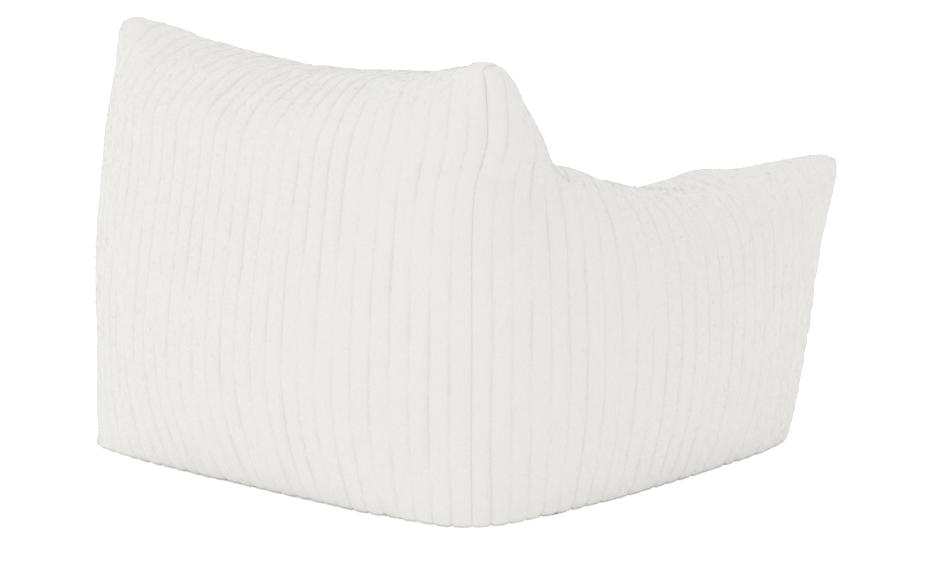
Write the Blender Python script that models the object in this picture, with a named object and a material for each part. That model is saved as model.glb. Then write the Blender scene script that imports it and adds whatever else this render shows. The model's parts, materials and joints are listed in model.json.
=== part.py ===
"""A structured bean bag armchair: a ribbed plush cover sewn from eleven panels over a zipped liner.

The liner holds four masses of loose fill, kept apart by three baffles. Units are metres, +Z is up
and the chair faces -Y. The origin is on the floor under the middle of the body.
"""

import bmesh
import bpy
from mathutils import Vector

# Driving dimensions of the body, measured on the coarse cage that the smooth surface follows.
HALF_WIDTH = 0.429
ARM_INNER = 0.228
FRONT_Y = -0.468
MIDDLE_Y = -0.137
BACKREST_Y = 0.179
REAR_Y = 0.391
BELLY_Z = 0.137
SEAT_Z = 0.284
ARM_Z = 0.493
SHOULDER_Z = 0.529
TOP_Z = 0.618

# The front and the arms flare as they rise, the base tucks in and the rear corners are rounded off.
FRONT_LEAN = 0.107
SIDE_LEAN = 0.069
BASE_TUCK = 0.005
REAR_CORNER_CUTS = (0.023, 0.045, 0.039, 0.053)
SHOULDER_CORNER_CUT = 0.008

# How far the filling swells the back and the sides, at the base, belly, seat and arm layers: the
# back at its middle column and at the columns beside it, the sides at the middle and backrest rows.
BACK_SWELL = ((0.005, 0.074, 0.065, 0.021), (0.005, 0.058, 0.043, 0.004))
SIDE_SWELL = ((0.008, 0.081, 0.081, 0.040), (0.008, 0.048, 0.064, 0.0))

# The backrest leans in as it rises, sags between its two ears and is thin along its top.
SHOULDER_HALF_WIDTH = 0.413
SHOULDER_FRONT_Y = 0.176
SHOULDER_REAR_Y = (0.403, 0.403, 0.315)
SHOULDER_REAR_RISE = 0.016
TOP_FRONT_Y = 0.181
TOP_REAR_Y = 0.323
TOP_SAG = 0.023
EAR_HALF_WIDTH = 0.372
EAR_FRONT_Y = 0.273
EAR_REAR_Y = 0.295
EAR_RISE = 0.041
LUMBAR_BULGE = 0.033

# The arms sag along their length and rise to an ear at the outer front corner.
ARM_SAG = 0.088
ARM_EAR_X = 0.451
ARM_EAR_Y = -0.477
ARM_EAR_DROP = 0.017
ARM_INNER_DROP = 0.088
SEAT_CROWN = 0.047
FRONT_BULGE = 0.014

# The inner bag is cut blunter than the cover where the cover has its upper ears.
BAG_EAR_DROP = 0.038
BAG_THICKENING = 0.057
BAG_NARROWING = 0.038

# Crease weights of the seams and ears: 0 is fully rounded, 1 is a hard edge.
BASE_CREASE = 0.80
WELT_CREASE = 0.25
VALLEY_CREASE = 0.60
EAR_CREASE = 0.35

# How many times each face of the cage is split to make it smooth.
COVER_LEVELS = 2
INNER_LEVELS = 1

# Sewn layers. Each inset is measured inwards from the outer face of the cover.
PLUSH_THICKNESS = 0.006
BASE_CLOTH_THICKNESS = 0.003
SEAM_PULL = 0.00025
LINER_INSET = 0.024
LINER_THICKNESS = 0.0015
FILL_INSET = 0.034
BAFFLE_THICKNESS = 0.001
BAFFLE_GAP = 0.0015
BAFFLE_MARGIN = 0.050
BAFFLE_CHAMFER = 0.030

# Half sizes of the guides that cut the fill and the zip slots. Only the first is past the chair.
ROOM_REACH = 1.0
SLOT_REACH = 0.030

# Both zips run across the underside. Heights are above the inner face of the cloth they close.
COVER_ZIP_Y = 0.203
LINER_ZIP_Y = 0.071
ZIP_HALF_LENGTH = 0.290
ZIP_SLOT_HALF_WIDTH = 0.006
TAPE_HALF_LENGTH = 0.310
TAPE_THICKNESS = 0.0005
TAPE_REACH = (0.001, 0.0065, 0.008, 0.015)
TAPE_HEIGHT = 0.0023
TAPE_LIFT = 0.0003
COIL_REACH = (0.0008, 0.003)
COIL_HEIGHTS = (0.0, 0.002)
COIL_HALF_LENGTH = 0.284
STOP_LENGTH = 0.005
STOP_GAP = 0.0005
SLIDER_LENGTH = 0.013
SLIDER_REST_X = 0.277

# A blank label lies on the inner face of the base cloth.
LABEL_SIZE = (0.060, 0.040, 0.0004)
LABEL_CENTRE = (-0.100, 0.267)

# The panels of the cover, in the order of their material index on the cage.
PANELS = (
    "cover_back_panel",
    "cover_side_panel_right",
    "cover_side_panel_left",
    "cover_inner_back_panel",
    "cover_inner_arm_panel_right",
    "cover_inner_arm_panel_left",
    "cover_seat_panel",
    "cover_front_panel",
    "cover_arm_front_panel_right",
    "cover_arm_front_panel_left",
    "cover_base_panel",
)

# Lattice indexes: columns across, rows front to rear, layers upwards.
OUTER_COLUMNS = (0, 4)
FRONT_ROW, MIDDLE_ROW, BACKREST_ROW, REAR_ROW = range(4)
BASE, BELLY, SEAT, ARM, SHOULDER, TOP = range(6)
DIRECTIONS = ((1, 0, 0), (-1, 0, 0), (0, 1, 0), (0, -1, 0), (0, 0, 1), (0, 0, -1))
CELLS = [(column, row, layer) for column in range(4) for row in range(3) for layer in range(5)]


def is_filled(column, row, layer):
    """Whether a cell of the lattice is inside the chair."""
    if not (0 <= column < 4 and 0 <= row < 3 and 0 <= layer < 5):
        return False
    if layer < SEAT:
        return True
    if layer == SEAT:
        return column in (0, 3) or row == BACKREST_ROW
    return row == BACKREST_ROW


def panel_of(cell, direction):
    """The index of the panel that covers one face of a cell."""
    column, row, layer = cell
    across, along, upwards = direction
    side = "right" if column < 2 else "left"
    if upwards < 0:
        name = "cover_base_panel"
    elif along > 0:
        name = "cover_back_panel"
    elif along < 0:
        if row == BACKREST_ROW:
            name = "cover_inner_back_panel"
        elif column in (0, 3):
            name = "cover_arm_front_panel_" + side
        else:
            name = "cover_front_panel"
    elif upwards > 0:
        if layer == SHOULDER:
            name = "cover_back_panel"
        elif column in (0, 3):
            name = "cover_side_panel_" + side
        else:
            name = "cover_seat_panel"
    elif (across < 0) == (column < 2):
        name = "cover_side_panel_" + side
    else:
        name = "cover_inner_arm_panel_" + side
    return PANELS.index(name)


def body_point(column, row, layer, as_cover):
    """Where a lattice point below the shoulders goes: the seat block and the arms."""
    x = (0.0, ARM_INNER, HALF_WIDTH)[abs(column - 2)]
    y = (FRONT_Y, MIDDLE_Y, BACKREST_Y, REAR_Y)[row]
    z = (0.0, BELLY_Z, SEAT_Z, ARM_Z)[layer]
    outer = column in OUTER_COLUMNS
    if outer and row == REAR_ROW:
        x -= REAR_CORNER_CUTS[layer]
        y -= REAR_CORNER_CUTS[layer]
    elif row == REAR_ROW:
        y += BACK_SWELL[abs(column - 2)][layer]
    elif outer and row != FRONT_ROW:
        x += SIDE_SWELL[row - MIDDLE_ROW][layer]
    if row == FRONT_ROW:
        y += FRONT_LEAN * (ARM_Z - z)
        x -= SIDE_LEAN * (ARM_Z - z) * outer
    if layer == BASE:
        x -= BASE_TUCK * outer
        y += BASE_TUCK * ((row == FRONT_ROW) - (row == REAR_ROW))
    if layer == BELLY and row == FRONT_ROW and not outer:
        y -= FRONT_BULGE
    if layer == SEAT and column == 2 and row < BACKREST_ROW:
        z += SEAT_CROWN
    if layer == ARM and column == 2 and row == BACKREST_ROW and as_cover:
        y -= LUMBAR_BULGE
    if layer == ARM and row == MIDDLE_ROW:
        z -= ARM_SAG
    if layer == ARM and row == FRONT_ROW:
        z -= ARM_INNER_DROP
        if outer:
            x, y = ARM_EAR_X, ARM_EAR_Y
            z = ARM_Z - ARM_EAR_DROP if as_cover else z
    return x, y, z


def backrest_point(column, row, layer, as_cover):
    """Where a lattice point at the shoulders or the top goes."""
    outer = column in OUTER_COLUMNS
    at_front = row == BACKREST_ROW
    narrowing = BAG_NARROWING * (not as_cover)
    if layer == SHOULDER:
        x = (0.0, ARM_INNER, SHOULDER_HALF_WIDTH - narrowing)[abs(column - 2)]
        y = SHOULDER_FRONT_Y if at_front else SHOULDER_REAR_Y[abs(column - 2)]
        cut = SHOULDER_CORNER_CUT * (outer and not at_front)
        rise = SHOULDER_REAR_RISE * (not outer and not at_front)
        return x - cut, y - cut, SHOULDER_Z + rise
    if outer and as_cover:
        return EAR_HALF_WIDTH, EAR_FRONT_Y if at_front else EAR_REAR_Y, TOP_Z + EAR_RISE
    if outer:
        y = EAR_FRONT_Y - BAG_THICKENING if at_front else EAR_REAR_Y
        return EAR_HALF_WIDTH - narrowing, y, TOP_Z - BAG_EAR_DROP
    x = ARM_INNER * abs(column - 2)
    return x, TOP_FRONT_Y if at_front else TOP_REAR_Y, TOP_Z - TOP_SAG * (column == 2)


def place(corner, as_cover):
    """The position of a lattice point. The inner bag has no ears and no lumbar bulge."""
    column, row, layer = corner
    rule = backrest_point if layer > ARM else body_point
    x, y, z = rule(column, row, layer, as_cover)
    side = (column > 2) - (column < 2)
    return Vector((x * side, y, z))


def face_corners(cell, direction):
    """The four lattice points of one face of a cell, anticlockwise seen from outside."""
    axis = next(number for number in range(3) if direction[number])
    first, second = (axis + 1) % 3, (axis + 2) % 3
    corners = []
    for along_first, along_second in ((0, 0), (1, 0), (1, 1), (0, 1)):
        corner = list(cell)
        corner[axis] += direction[axis] > 0
        corner[first] += along_first
        corner[second] += along_second
        corners.append(tuple(corner))
    return corners if direction[axis] > 0 else corners[::-1]


def outside_faces():
    """Each face on the outside of the lattice: its four corners and the number of its panel."""
    for cell in CELLS:
        for direction in DIRECTIONS:
            beyond = tuple(at + by for at, by in zip(cell, direction))
            if is_filled(*cell) and not is_filled(*beyond):
                yield face_corners(cell, direction), panel_of(cell, direction)


def crease_of(one, other):
    """How hard the seam is between two panels that meet on an edge."""
    pair = {PANELS[one], PANELS[other]}
    if len(pair) == 1:
        return 0.0
    if "cover_base_panel" in pair:
        return BASE_CREASE
    if all("inner" in name or "seat" in name for name in pair):
        return VALLEY_CREASE
    return WELT_CREASE


def is_ear(column, row, layer):
    """Whether a lattice point is at the tip of one of the four ears."""
    return column in OUTER_COLUMNS and (layer == TOP or (layer == ARM and row == FRONT_ROW))


def body_cage(as_cover):
    """The coarse cage of the whole chair, its faces numbered by panel and its seams creased."""
    cage = bmesh.new()
    edge_crease = cage.edges.layers.float.new("crease_edge")
    point_crease = cage.verts.layers.float.new("crease_vert")
    points = {}
    for corners, panel in outside_faces():
        for corner in corners:
            if corner not in points:
                points[corner] = cage.verts.new(place(corner, as_cover))
                points[corner][point_crease] = EAR_CREASE * (as_cover and is_ear(*corner))
        cage.faces.new([points[corner] for corner in corners]).material_index = panel
    for edge in cage.edges:
        edge[edge_crease] = crease_of(*(face.material_index for face in edge.link_faces))
    mesh = bpy.data.meshes.new("cage")
    cage.to_mesh(mesh)
    cage.free()
    return mesh


def body_surface(levels, as_cover):
    """The smooth outer surface of the whole chair, its faces numbered by panel."""
    cage = body_cage(as_cover)
    holder = bpy.data.objects.new("cage", cage)
    bpy.context.scene.collection.objects.link(holder)
    for _ in PANELS:
        cage.materials.append(None)
    smoothing = holder.modifiers.new("smoothing", "SUBSURF")
    smoothing.levels = levels
    smoothing.render_levels = levels
    bpy.context.view_layer.update()
    evaluated = holder.evaluated_get(bpy.context.evaluated_depsgraph_get())
    mesh = bpy.data.meshes.new_from_object(evaluated)
    bpy.data.objects.remove(holder)
    # Triangles keep the sides of a sheet, and one layer and the next, an even distance apart.
    split = bmesh.new()
    split.from_mesh(mesh)
    bmesh.ops.triangulate(split, faces=split.faces)
    split.to_mesh(mesh)
    split.free()
    return mesh


def add_object(name, mesh, material, smooth=False, location=(0.0, 0.0, 0.0)):
    """A named object for a mesh whose points are measured from its location."""
    mesh.name = name
    mesh.materials.clear()
    mesh.materials.append(material)
    for face in mesh.polygons:
        face.use_smooth = smooth
        face.material_index = 0
    made = bpy.data.objects.new(name, mesh)
    made.location = location
    bpy.context.scene.collection.objects.link(made)
    return made


def add_material(name, colour, roughness, metallic=0.0):
    material = bpy.data.materials.new(name)
    material.use_nodes = True
    surface = material.node_tree.nodes["Principled BSDF"]
    surface.inputs["Base Color"].default_value = (*colour, 1.0)
    surface.inputs["Roughness"].default_value = roughness
    surface.inputs["Metallic"].default_value = metallic
    return material


def add_shell(name, surface, faces, outside, inside, pull, material):
    """A closed sheet between two insets of some faces of a surface, drawn back from its rim."""
    used = sorted({index for face in faces for index in face.vertices})
    edges = {edge for face in faces for edge in zip(face.vertices, rolled(face.vertices))}
    rim = [(start, end) for start, end in sorted(edges) if (end, start) not in edges]
    on_rim = {index for edge in rim for index in edge}
    inwards = {index: Vector() for index in used}
    for face in faces:
        for index in face.vertices:
            inwards[index] += (face.center - surface.vertices[index].co).normalized()
    sheet = bmesh.new()
    outer, inner = {}, {}
    for index in used:
        vertex = surface.vertices[index]
        here = vertex.co.copy()
        if index in on_rim:
            here += inwards[index].normalized() * pull
        outer[index] = sheet.verts.new(here - vertex.normal * outside)
        inner[index] = sheet.verts.new(here - vertex.normal * inside)
    for face in faces:
        sheet.faces.new([outer[index] for index in face.vertices])
        sheet.faces.new([inner[index] for index in reversed(face.vertices)])
    for start, end in rim:
        # Both panels of a seam split their twisted edge faces along the same diagonal.
        if start < end:
            sheet.faces.new([outer[end], outer[start], inner[end]])
            sheet.faces.new([outer[start], inner[start], inner[end]])
        else:
            sheet.faces.new([outer[end], outer[start], inner[start]])
            sheet.faces.new([outer[end], inner[start], inner[end]])
    mesh = bpy.data.meshes.new(name)
    sheet.to_mesh(mesh)
    sheet.free()
    return add_object(name, mesh, material, smooth=True)


def rolled(items):
    """The same items, starting from the second one."""
    return [*items[1:], items[0]]


def add_prism(name, outline, axis, low, high, material, location=(0.0, 0.0, 0.0)):
    """An outline in the two other axes, in order, drawn out along one axis."""
    others = [number for number in range(3) if number != axis]
    solid = bmesh.new()
    rings = []
    for depth in (low, high):
        ring = []
        for corner in outline:
            point = Vector()
            point[axis] = depth
            point[others[0]], point[others[1]] = corner
            ring.append(solid.verts.new(point))
        rings.append(ring)
    lower, upper = rings
    solid.faces.new(lower)
    solid.faces.new(upper[::-1])
    for first, second, third, fourth in zip(lower, rolled(lower), rolled(upper), upper):
        solid.faces.new([fourth, third, second, first])
    bmesh.ops.recalc_face_normals(solid, faces=solid.faces)
    mesh = bpy.data.meshes.new(name)
    solid.to_mesh(mesh)
    solid.free()
    return add_object(name, mesh, material, location=location)


def box(low, high):
    """A rectangle as an outline, from one corner to the opposite one."""
    return [(low[0], low[1]), (high[0], low[1]), (high[0], high[1]), (low[0], high[1])]


def apply_cutter(target, operation, cutter):
    """Cuts one object by another, which stays in the file as a guide."""
    cutter.hide_render = True
    cutter.display_type = "WIRE"
    cut = target.modifiers.new(operation.lower(), "BOOLEAN")
    cut.operation = operation
    cut.solver = "EXACT"
    cut.object = cutter


def cut_slot(target, y):
    """A slot for a zip through the cloth on the underside."""
    outline = box((y - ZIP_SLOT_HALF_WIDTH, -SLOT_REACH), (y + ZIP_SLOT_HALF_WIDTH, SLOT_REACH))
    name = target.name + "_slot"
    cutter = add_prism(name, outline, 0, -ZIP_HALF_LENGTH, ZIP_HALF_LENGTH, target.active_material)
    apply_cutter(target, "DIFFERENCE", cutter)


def add_cover(plush, base_cloth):
    """The eleven sewn panels of the cover."""
    surface = body_surface(COVER_LEVELS, as_cover=True)
    for number, name in enumerate(PANELS):
        faces = [face for face in surface.polygons if face.material_index == number]
        if name == "cover_base_panel":
            panel = add_shell(
                name, surface, faces, 0.0, BASE_CLOTH_THICKNESS, SEAM_PULL, base_cloth
            )
            cut_slot(panel, COVER_ZIP_Y)
        else:
            add_shell(name, surface, faces, 0.0, PLUSH_THICKNESS, SEAM_PULL, plush)


def add_liner(cloth):
    """The inner bag, blunt where the cover has ears."""
    surface = body_surface(INNER_LEVELS, as_cover=False)
    inside = LINER_INSET + LINER_THICKNESS
    bag = add_shell("inner_liner", surface, surface.polygons, LINER_INSET, inside, 0.0, cloth)
    cut_slot(bag, LINER_ZIP_Y)


def add_fills(beads):
    """The four masses of loose fill: one inset solid, cut apart where the baffles stand."""
    surface = body_surface(INNER_LEVELS, as_cover=False)
    for vertex in surface.vertices:
        vertex.co -= vertex.normal * FILL_INSET
    wall_y = BACKREST_Y - BAFFLE_GAP
    inner = ARM_INNER - BAFFLE_GAP
    outer = ARM_INNER + BAFFLE_GAP
    rooms = (
        ("fill_back", box((-ROOM_REACH, BACKREST_Y + BAFFLE_GAP), (ROOM_REACH, ROOM_REACH))),
        ("fill_arm_right", box((-ROOM_REACH, -ROOM_REACH), (-outer, wall_y))),
        ("fill_arm_left", box((outer, -ROOM_REACH), (ROOM_REACH, wall_y))),
        ("fill_seat", box((-inner, -ROOM_REACH), (inner, wall_y))),
    )
    for name, room in rooms:
        mass = add_object(name, surface.copy(), beads)
        cutter = add_prism(name + "_room", room, 2, -ROOM_REACH, ROOM_REACH, beads)
        apply_cutter(mass, "INTERSECT", cutter)


def add_baffles(cloth):
    """The three cloth walls that keep the fill in place."""
    half = BAFFLE_THICKNESS / 2
    bottom = BAFFLE_MARGIN
    seat_top = SEAT_Z - BAFFLE_MARGIN
    arm_top = ARM_Z - BAFFLE_MARGIN - BAFFLE_CHAMFER
    side = HALF_WIDTH - BAFFLE_MARGIN
    notch = ARM_INNER + BAFFLE_MARGIN
    right_half = [
        (side - BAFFLE_CHAMFER, bottom),
        (side, bottom + BAFFLE_CHAMFER),
        (side, arm_top - BAFFLE_CHAMFER),
        (side - BAFFLE_CHAMFER, arm_top),
        (notch, arm_top),
        (notch, seat_top + BAFFLE_CHAMFER),
        (notch - BAFFLE_CHAMFER, seat_top),
    ]
    outline = right_half + [(-x, z) for x, z in reversed(right_half)]
    add_prism("back_baffle", outline, 1, BACKREST_Y - half, BACKREST_Y + half, cloth)
    front = FRONT_Y + FRONT_LEAN * ARM_Z + BAFFLE_MARGIN
    rear = BACKREST_Y - half - BAFFLE_GAP
    outline = [
        (front, bottom),
        (rear, bottom),
        (rear, seat_top),
        (front + BAFFLE_CHAMFER, seat_top),
        (front, seat_top - BAFFLE_CHAMFER),
    ]
    for name, x in (("arm_baffle_right", -ARM_INNER), ("arm_baffle_left", ARM_INNER)):
        add_prism(name, outline, 0, x - half, x + half, cloth)


def add_zip(prefix, y, inner_face, tape, nylon, metal):
    """A closed coil zip across the chair: tapes, coils, stops and a slider that can run along it."""
    near, bend, foot, far = TAPE_REACH
    low = inner_face + TAPE_LIFT
    high = inner_face + TAPE_HEIGHT
    for word, side in (("front", -1), ("rear", 1)):
        profile = [
            (near, high),
            (bend, high),
            (foot, low),
            (far, low),
            (far, low + TAPE_THICKNESS),
            (foot, low + TAPE_THICKNESS),
            (bend, high + TAPE_THICKNESS),
            (near, high + TAPE_THICKNESS),
        ]
        outline = [(y + side * reach, z) for reach, z in profile]
        name = f"{prefix}_zip_tape_{word}"
        add_prism(name, outline, 0, -TAPE_HALF_LENGTH, TAPE_HALF_LENGTH, tape)
        row = box(
            (y + side * COIL_REACH[0], inner_face + COIL_HEIGHTS[0]),
            (y + side * COIL_REACH[1], inner_face + COIL_HEIGHTS[1]),
        )
        name = f"{prefix}_zip_coil_{word}"
        add_prism(name, row, 0, -COIL_HALF_LENGTH, COIL_HALF_LENGTH, nylon)
        stop_start = COIL_HALF_LENGTH + STOP_GAP
        name = f"{prefix}_zip_top_stop_{word}"
        add_prism(name, row, 0, stop_start, stop_start + STOP_LENGTH, metal)
    across = box(
        (y - COIL_REACH[1], inner_face + COIL_HEIGHTS[0]),
        (y + COIL_REACH[1], inner_face + COIL_HEIGHTS[1]),
    )
    stop_start = -COIL_HALF_LENGTH - STOP_GAP
    name = f"{prefix}_zip_bottom_stop"
    add_prism(name, across, 0, stop_start - STOP_LENGTH, stop_start, metal)
    half_profile = [
        (0.0048, -0.0018),
        (0.0048, 0.0018),
        (0.0038, 0.0018),
        (0.0038, -0.0006),
        (0.0004, -0.0006),
        (0.0004, 0.0034),
        (0.0040, 0.0034),
        (0.0040, 0.0044),
    ]
    outline = half_profile + [(-reach, z) for reach, z in reversed(half_profile)]
    half = SLIDER_LENGTH / 2
    place_at = (SLIDER_REST_X, y, inner_face)
    add_prism(f"{prefix}_zip_slider", outline, 0, -half, half, metal, location=place_at)


def main():
    for leftover in list(bpy.data.objects):
        bpy.data.objects.remove(leftover)
    plush = add_material("ivory_plush", (0.80, 0.79, 0.75), 0.95)
    base_cloth = add_material("grip_base_cloth", (0.52, 0.51, 0.48), 0.85)
    liner_cloth = add_material("liner_cloth", (0.78, 0.78, 0.76), 0.80)
    baffle_cloth = add_material("baffle_cloth", (0.70, 0.70, 0.68), 0.80)
    beads = add_material("foam_fill", (0.86, 0.86, 0.84), 0.90)
    tape = add_material("zip_tape_cloth", (0.72, 0.71, 0.67), 0.80)
    nylon = add_material("zip_coil_nylon", (0.74, 0.73, 0.69), 0.45)
    metal = add_material("zip_slider_metal", (0.62, 0.62, 0.60), 0.30, metallic=1.0)
    label_cloth = add_material("label_cloth", (0.83, 0.83, 0.82), 0.70)
    add_cover(plush, base_cloth)
    add_liner(liner_cloth)
    add_fills(beads)
    add_baffles(baffle_cloth)
    add_zip("cover", COVER_ZIP_Y, BASE_CLOTH_THICKNESS, tape, nylon, metal)
    liner_face = LINER_INSET + LINER_THICKNESS
    add_zip("liner", LINER_ZIP_Y, liner_face, tape, nylon, metal)
    length, width, height = LABEL_SIZE
    x, y = LABEL_CENTRE
    outline = box((x - length / 2, y - width / 2), (x + length / 2, y + width / 2))
    low = BASE_CLOTH_THICKNESS + TAPE_LIFT
    add_prism("care_label", outline, 2, low, low + height, label_cloth)


main()
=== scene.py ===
"""Looks of the bean bag armchair: ribbed plush over a stuffed body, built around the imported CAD.

Lengths are in metres, in the CAD's frame: X across, +Y to the rear, Z up. Left and right are the
sitter's own. The cover is worked out on a lattice of columns (X), rows (Y) and layers (Z), the
same one that the CAD cover has, so its panels and seams come out in the same places.
"""

import json
import math

import bmesh
import bpy
import numpy as np
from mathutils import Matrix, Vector
from mathutils.bvhtree import BVHTree
from mathutils.kdtree import KDTree

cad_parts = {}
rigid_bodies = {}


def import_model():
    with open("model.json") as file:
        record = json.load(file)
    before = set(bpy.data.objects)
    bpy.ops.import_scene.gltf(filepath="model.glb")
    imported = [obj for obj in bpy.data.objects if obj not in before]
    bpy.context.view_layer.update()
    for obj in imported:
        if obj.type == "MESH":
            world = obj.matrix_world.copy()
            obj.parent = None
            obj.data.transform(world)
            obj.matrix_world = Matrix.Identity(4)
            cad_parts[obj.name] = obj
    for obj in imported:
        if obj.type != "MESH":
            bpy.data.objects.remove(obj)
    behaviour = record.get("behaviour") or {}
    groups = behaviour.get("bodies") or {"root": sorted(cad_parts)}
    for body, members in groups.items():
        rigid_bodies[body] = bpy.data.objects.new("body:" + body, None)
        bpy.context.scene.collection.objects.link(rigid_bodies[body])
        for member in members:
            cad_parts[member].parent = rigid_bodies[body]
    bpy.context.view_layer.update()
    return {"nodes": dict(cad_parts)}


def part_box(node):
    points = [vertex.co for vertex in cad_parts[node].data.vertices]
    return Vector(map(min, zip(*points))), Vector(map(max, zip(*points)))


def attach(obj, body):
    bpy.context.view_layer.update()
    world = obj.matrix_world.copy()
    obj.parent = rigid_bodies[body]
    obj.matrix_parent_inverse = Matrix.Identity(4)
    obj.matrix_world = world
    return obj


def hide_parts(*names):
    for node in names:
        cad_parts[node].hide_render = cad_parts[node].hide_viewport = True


# The lattice of the cover, as in the CAD.
HALF_WIDTH = 0.429
ARM_INNER = 0.228
FRONT_Y = -0.468
MIDDLE_Y = -0.137
BACKREST_Y = 0.179
REAR_Y = 0.391
BELLY_Z = 0.137
SEAT_Z = 0.284
ARM_Z = 0.493
SHOULDER_Z = 0.529
TOP_Z = 0.618
FRONT_LEAN = 0.107
SIDE_LEAN = 0.069
BASE_TUCK = 0.005
REAR_CORNER_CUTS = (0.023, 0.045, 0.039, 0.053)
SHOULDER_CORNER_CUT = 0.008

# How far the filling swells the back and the sides, at the base, belly, seat and arm layers: the
# back at its middle column and at the columns beside it, the sides at the middle and backrest rows.
BACK_SWELL = ((0.005, 0.074, 0.065, 0.021), (0.005, 0.058, 0.043, 0.004))
SIDE_SWELL = ((0.008, 0.081, 0.081, 0.040), (0.008, 0.048, 0.064, 0.0))
SHOULDER_HALF_WIDTH = 0.413
SHOULDER_FRONT_Y = 0.176
SHOULDER_REAR_Y = (0.403, 0.403, 0.315)
SHOULDER_REAR_RISE = 0.016
TOP_FRONT_Y = 0.181
TOP_REAR_Y = 0.323
TOP_SAG = 0.023
EAR_HALF_WIDTH = 0.372
EAR_FRONT_Y = 0.273
EAR_REAR_Y = 0.295
EAR_RISE = 0.041
LUMBAR_BULGE = 0.033
ARM_SAG = 0.088
ARM_EAR_X = 0.451
ARM_EAR_Y = -0.477
ARM_EAR_DROP = 0.017
ARM_INNER_DROP = 0.088
SEAT_CROWN = 0.047
FRONT_BULGE = 0.014
BASE_CREASE = 0.80
WELT_CREASE = 0.25
VALLEY_CREASE = 0.60
EAR_CREASE = 0.35

OUTER_COLUMNS = (0, 4)
INNER_ARM_COLUMNS = (1, 3)
FRONT_ROW, MIDDLE_ROW, BACKREST_ROW, REAR_ROW = range(4)
BASE, BELLY, SEAT, ARM, SHOULDER, TOP = range(6)
# The layer up to which a rear corner seam lies in a groove.
REAR_CORNER_TOP = 3.5
DIRECTIONS = ((1, 0, 0), (-1, 0, 0), (0, 1, 0), (0, -1, 0), (0, 0, 1), (0, 0, -1))
CELLS = [(column, row, layer) for column in range(4) for row in range(3) for layer in range(5)]

# The cloth is simulated on the cage after SIM_LEVELS splits, and sampled after FINE_LEVELS more.
SIM_LEVELS = 4
FINE_LEVELS = 2
STEPS = 2 ** (SIM_LEVELS + FINE_LEVELS)
SIM_FRAMES = 20
CLOTH_SETTINGS = {
    "quality": 5,
    "mass": 0.3,
    "tension_stiffness": 12.0,
    "compression_stiffness": 12.0,
    "shear_stiffness": 6.0,
    "bending_stiffness": 1.5,
    "shrink_min": -0.02,
    "use_pressure": True,
    "uniform_pressure_force": 4.0,
    "vertex_group_mass": "held",
}
# The most that pressure may move a point: the outer panels have their fullness from the cage.
INNER_SWELL = 0.018
OUTER_SWELL = 0.003

# Where the fill has settled into a lump (or a hollow) under the cover: centre, radius and height.
SETTLED = (
    ((-0.31, -0.089, 0.43), 0.055, -0.010),
    ((-0.30, -0.245, 0.41), 0.060, 0.009),
    ((-0.30, -0.360, 0.41), 0.045, -0.004),
    ((0.30, -0.060, 0.43), 0.055, -0.008),
    ((0.31, -0.260, 0.41), 0.060, 0.008),
    ((-0.12, 0.215, 0.60), 0.070, 0.004),
    ((-0.40, 0.29, 0.61), 0.045, 0.010),
    ((0.37, 0.285, 0.645), 0.045, 0.006),
    ((-0.44, -0.46, 0.48), 0.045, 0.008),
    ((0.44, -0.46, 0.48), 0.045, 0.006),
    ((-0.36, 0.11, 0.47), 0.050, 0.007),
)

# The rib cloth: wales of plush with a narrow groove between each two.
RIB_PITCH = 0.0290
GROOVE_DEPTH = 0.0024
GROOVE_WIDTH = 0.0021
WALE_CROWN = 0.0005
ROW_STEP = 0.0062
PANEL_THICKNESS = 0.008
SEAM_DEPTH = 0.0022
SEAM_WIDTH = 0.005
BAND_WIDTH = 0.020
# How close to the floor the plush may come.
LEAST_HEIGHT = 0.0005

# The pile is set with small upright tufts of fibre, which lean down the nap.
TUFT_SPACING = 0.0065
TUFT_LENGTH = 0.0045
TUFT_WIDTH = 0.0010
TUFT_LEAN = 0.45
TUFT_SPREAD = 0.30
TUFT_ROOT = 0.0006

# How the ribs vary: their sideways stray, how open their grooves are and how uneven the pile is.
SLOW_STRAY = 0.0022
QUICK_STRAY = 0.0009
GROOVE_OPENING = 0.62
OPENING_RANGE = (0.12, 1.15)
SIDE_OPENING = 0.25
SEAM_CLOSING = 0.85
GROOVE_FADE = 0.65
CLUMP_HEIGHT = 0.0003
DENT_HEIGHT = 0.0010

# The plush's colours, the last of them a painted shade for its grooves and seams, and what its cloth
# and its tufts have in common.
PLUSH_WARM = (0.798, 0.791, 0.758, 1)
PLUSH_COOL = (0.810, 0.804, 0.782, 1)
PLUSH_SHADE = (0.80, 0.785, 0.745, 1)
PLUSH_GROOVE_SHADE = (0.72, 0.70, 0.65, 1)
PLUSH_SURFACE = {
    "Roughness": 0.95,
    "Specular_IOR_Level": 0.15,
    "Sheen_Weight": 0.35,
    "Sheen_Roughness": 0.45,
    "Sheen_Tint": (1.0, 0.99, 0.97, 1.0),
}
# Painted light: the tufts glow a little in their own colour, standing in for the light that comes
# through the fibres from behind.
PILE_GLOW = 0.20

# Woven cloths: light colour, dark colour, thread pitch, roughness and strength of the weave.
WOVEN_CLOTHS = {
    "grip_base_cloth": ((0.56, 0.55, 0.52, 1), (0.42, 0.41, 0.39, 1), 0.0014, 0.85, 0.5),
    "liner_cloth": ((0.84, 0.84, 0.82, 1), (0.70, 0.70, 0.68, 1), 0.0009, 0.80, 0.5),
    "baffle_cloth": ((0.76, 0.76, 0.74, 1), (0.60, 0.60, 0.59, 1), 0.0012, 0.82, 0.5),
    "zip_tape_cloth": ((0.78, 0.77, 0.73, 1), (0.60, 0.59, 0.55, 1), 0.0008, 0.80, 0.8),
    "label_cloth": ((0.88, 0.88, 0.87, 1), (0.76, 0.76, 0.75, 1), 0.0005, 0.65, 0.5),
}
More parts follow.
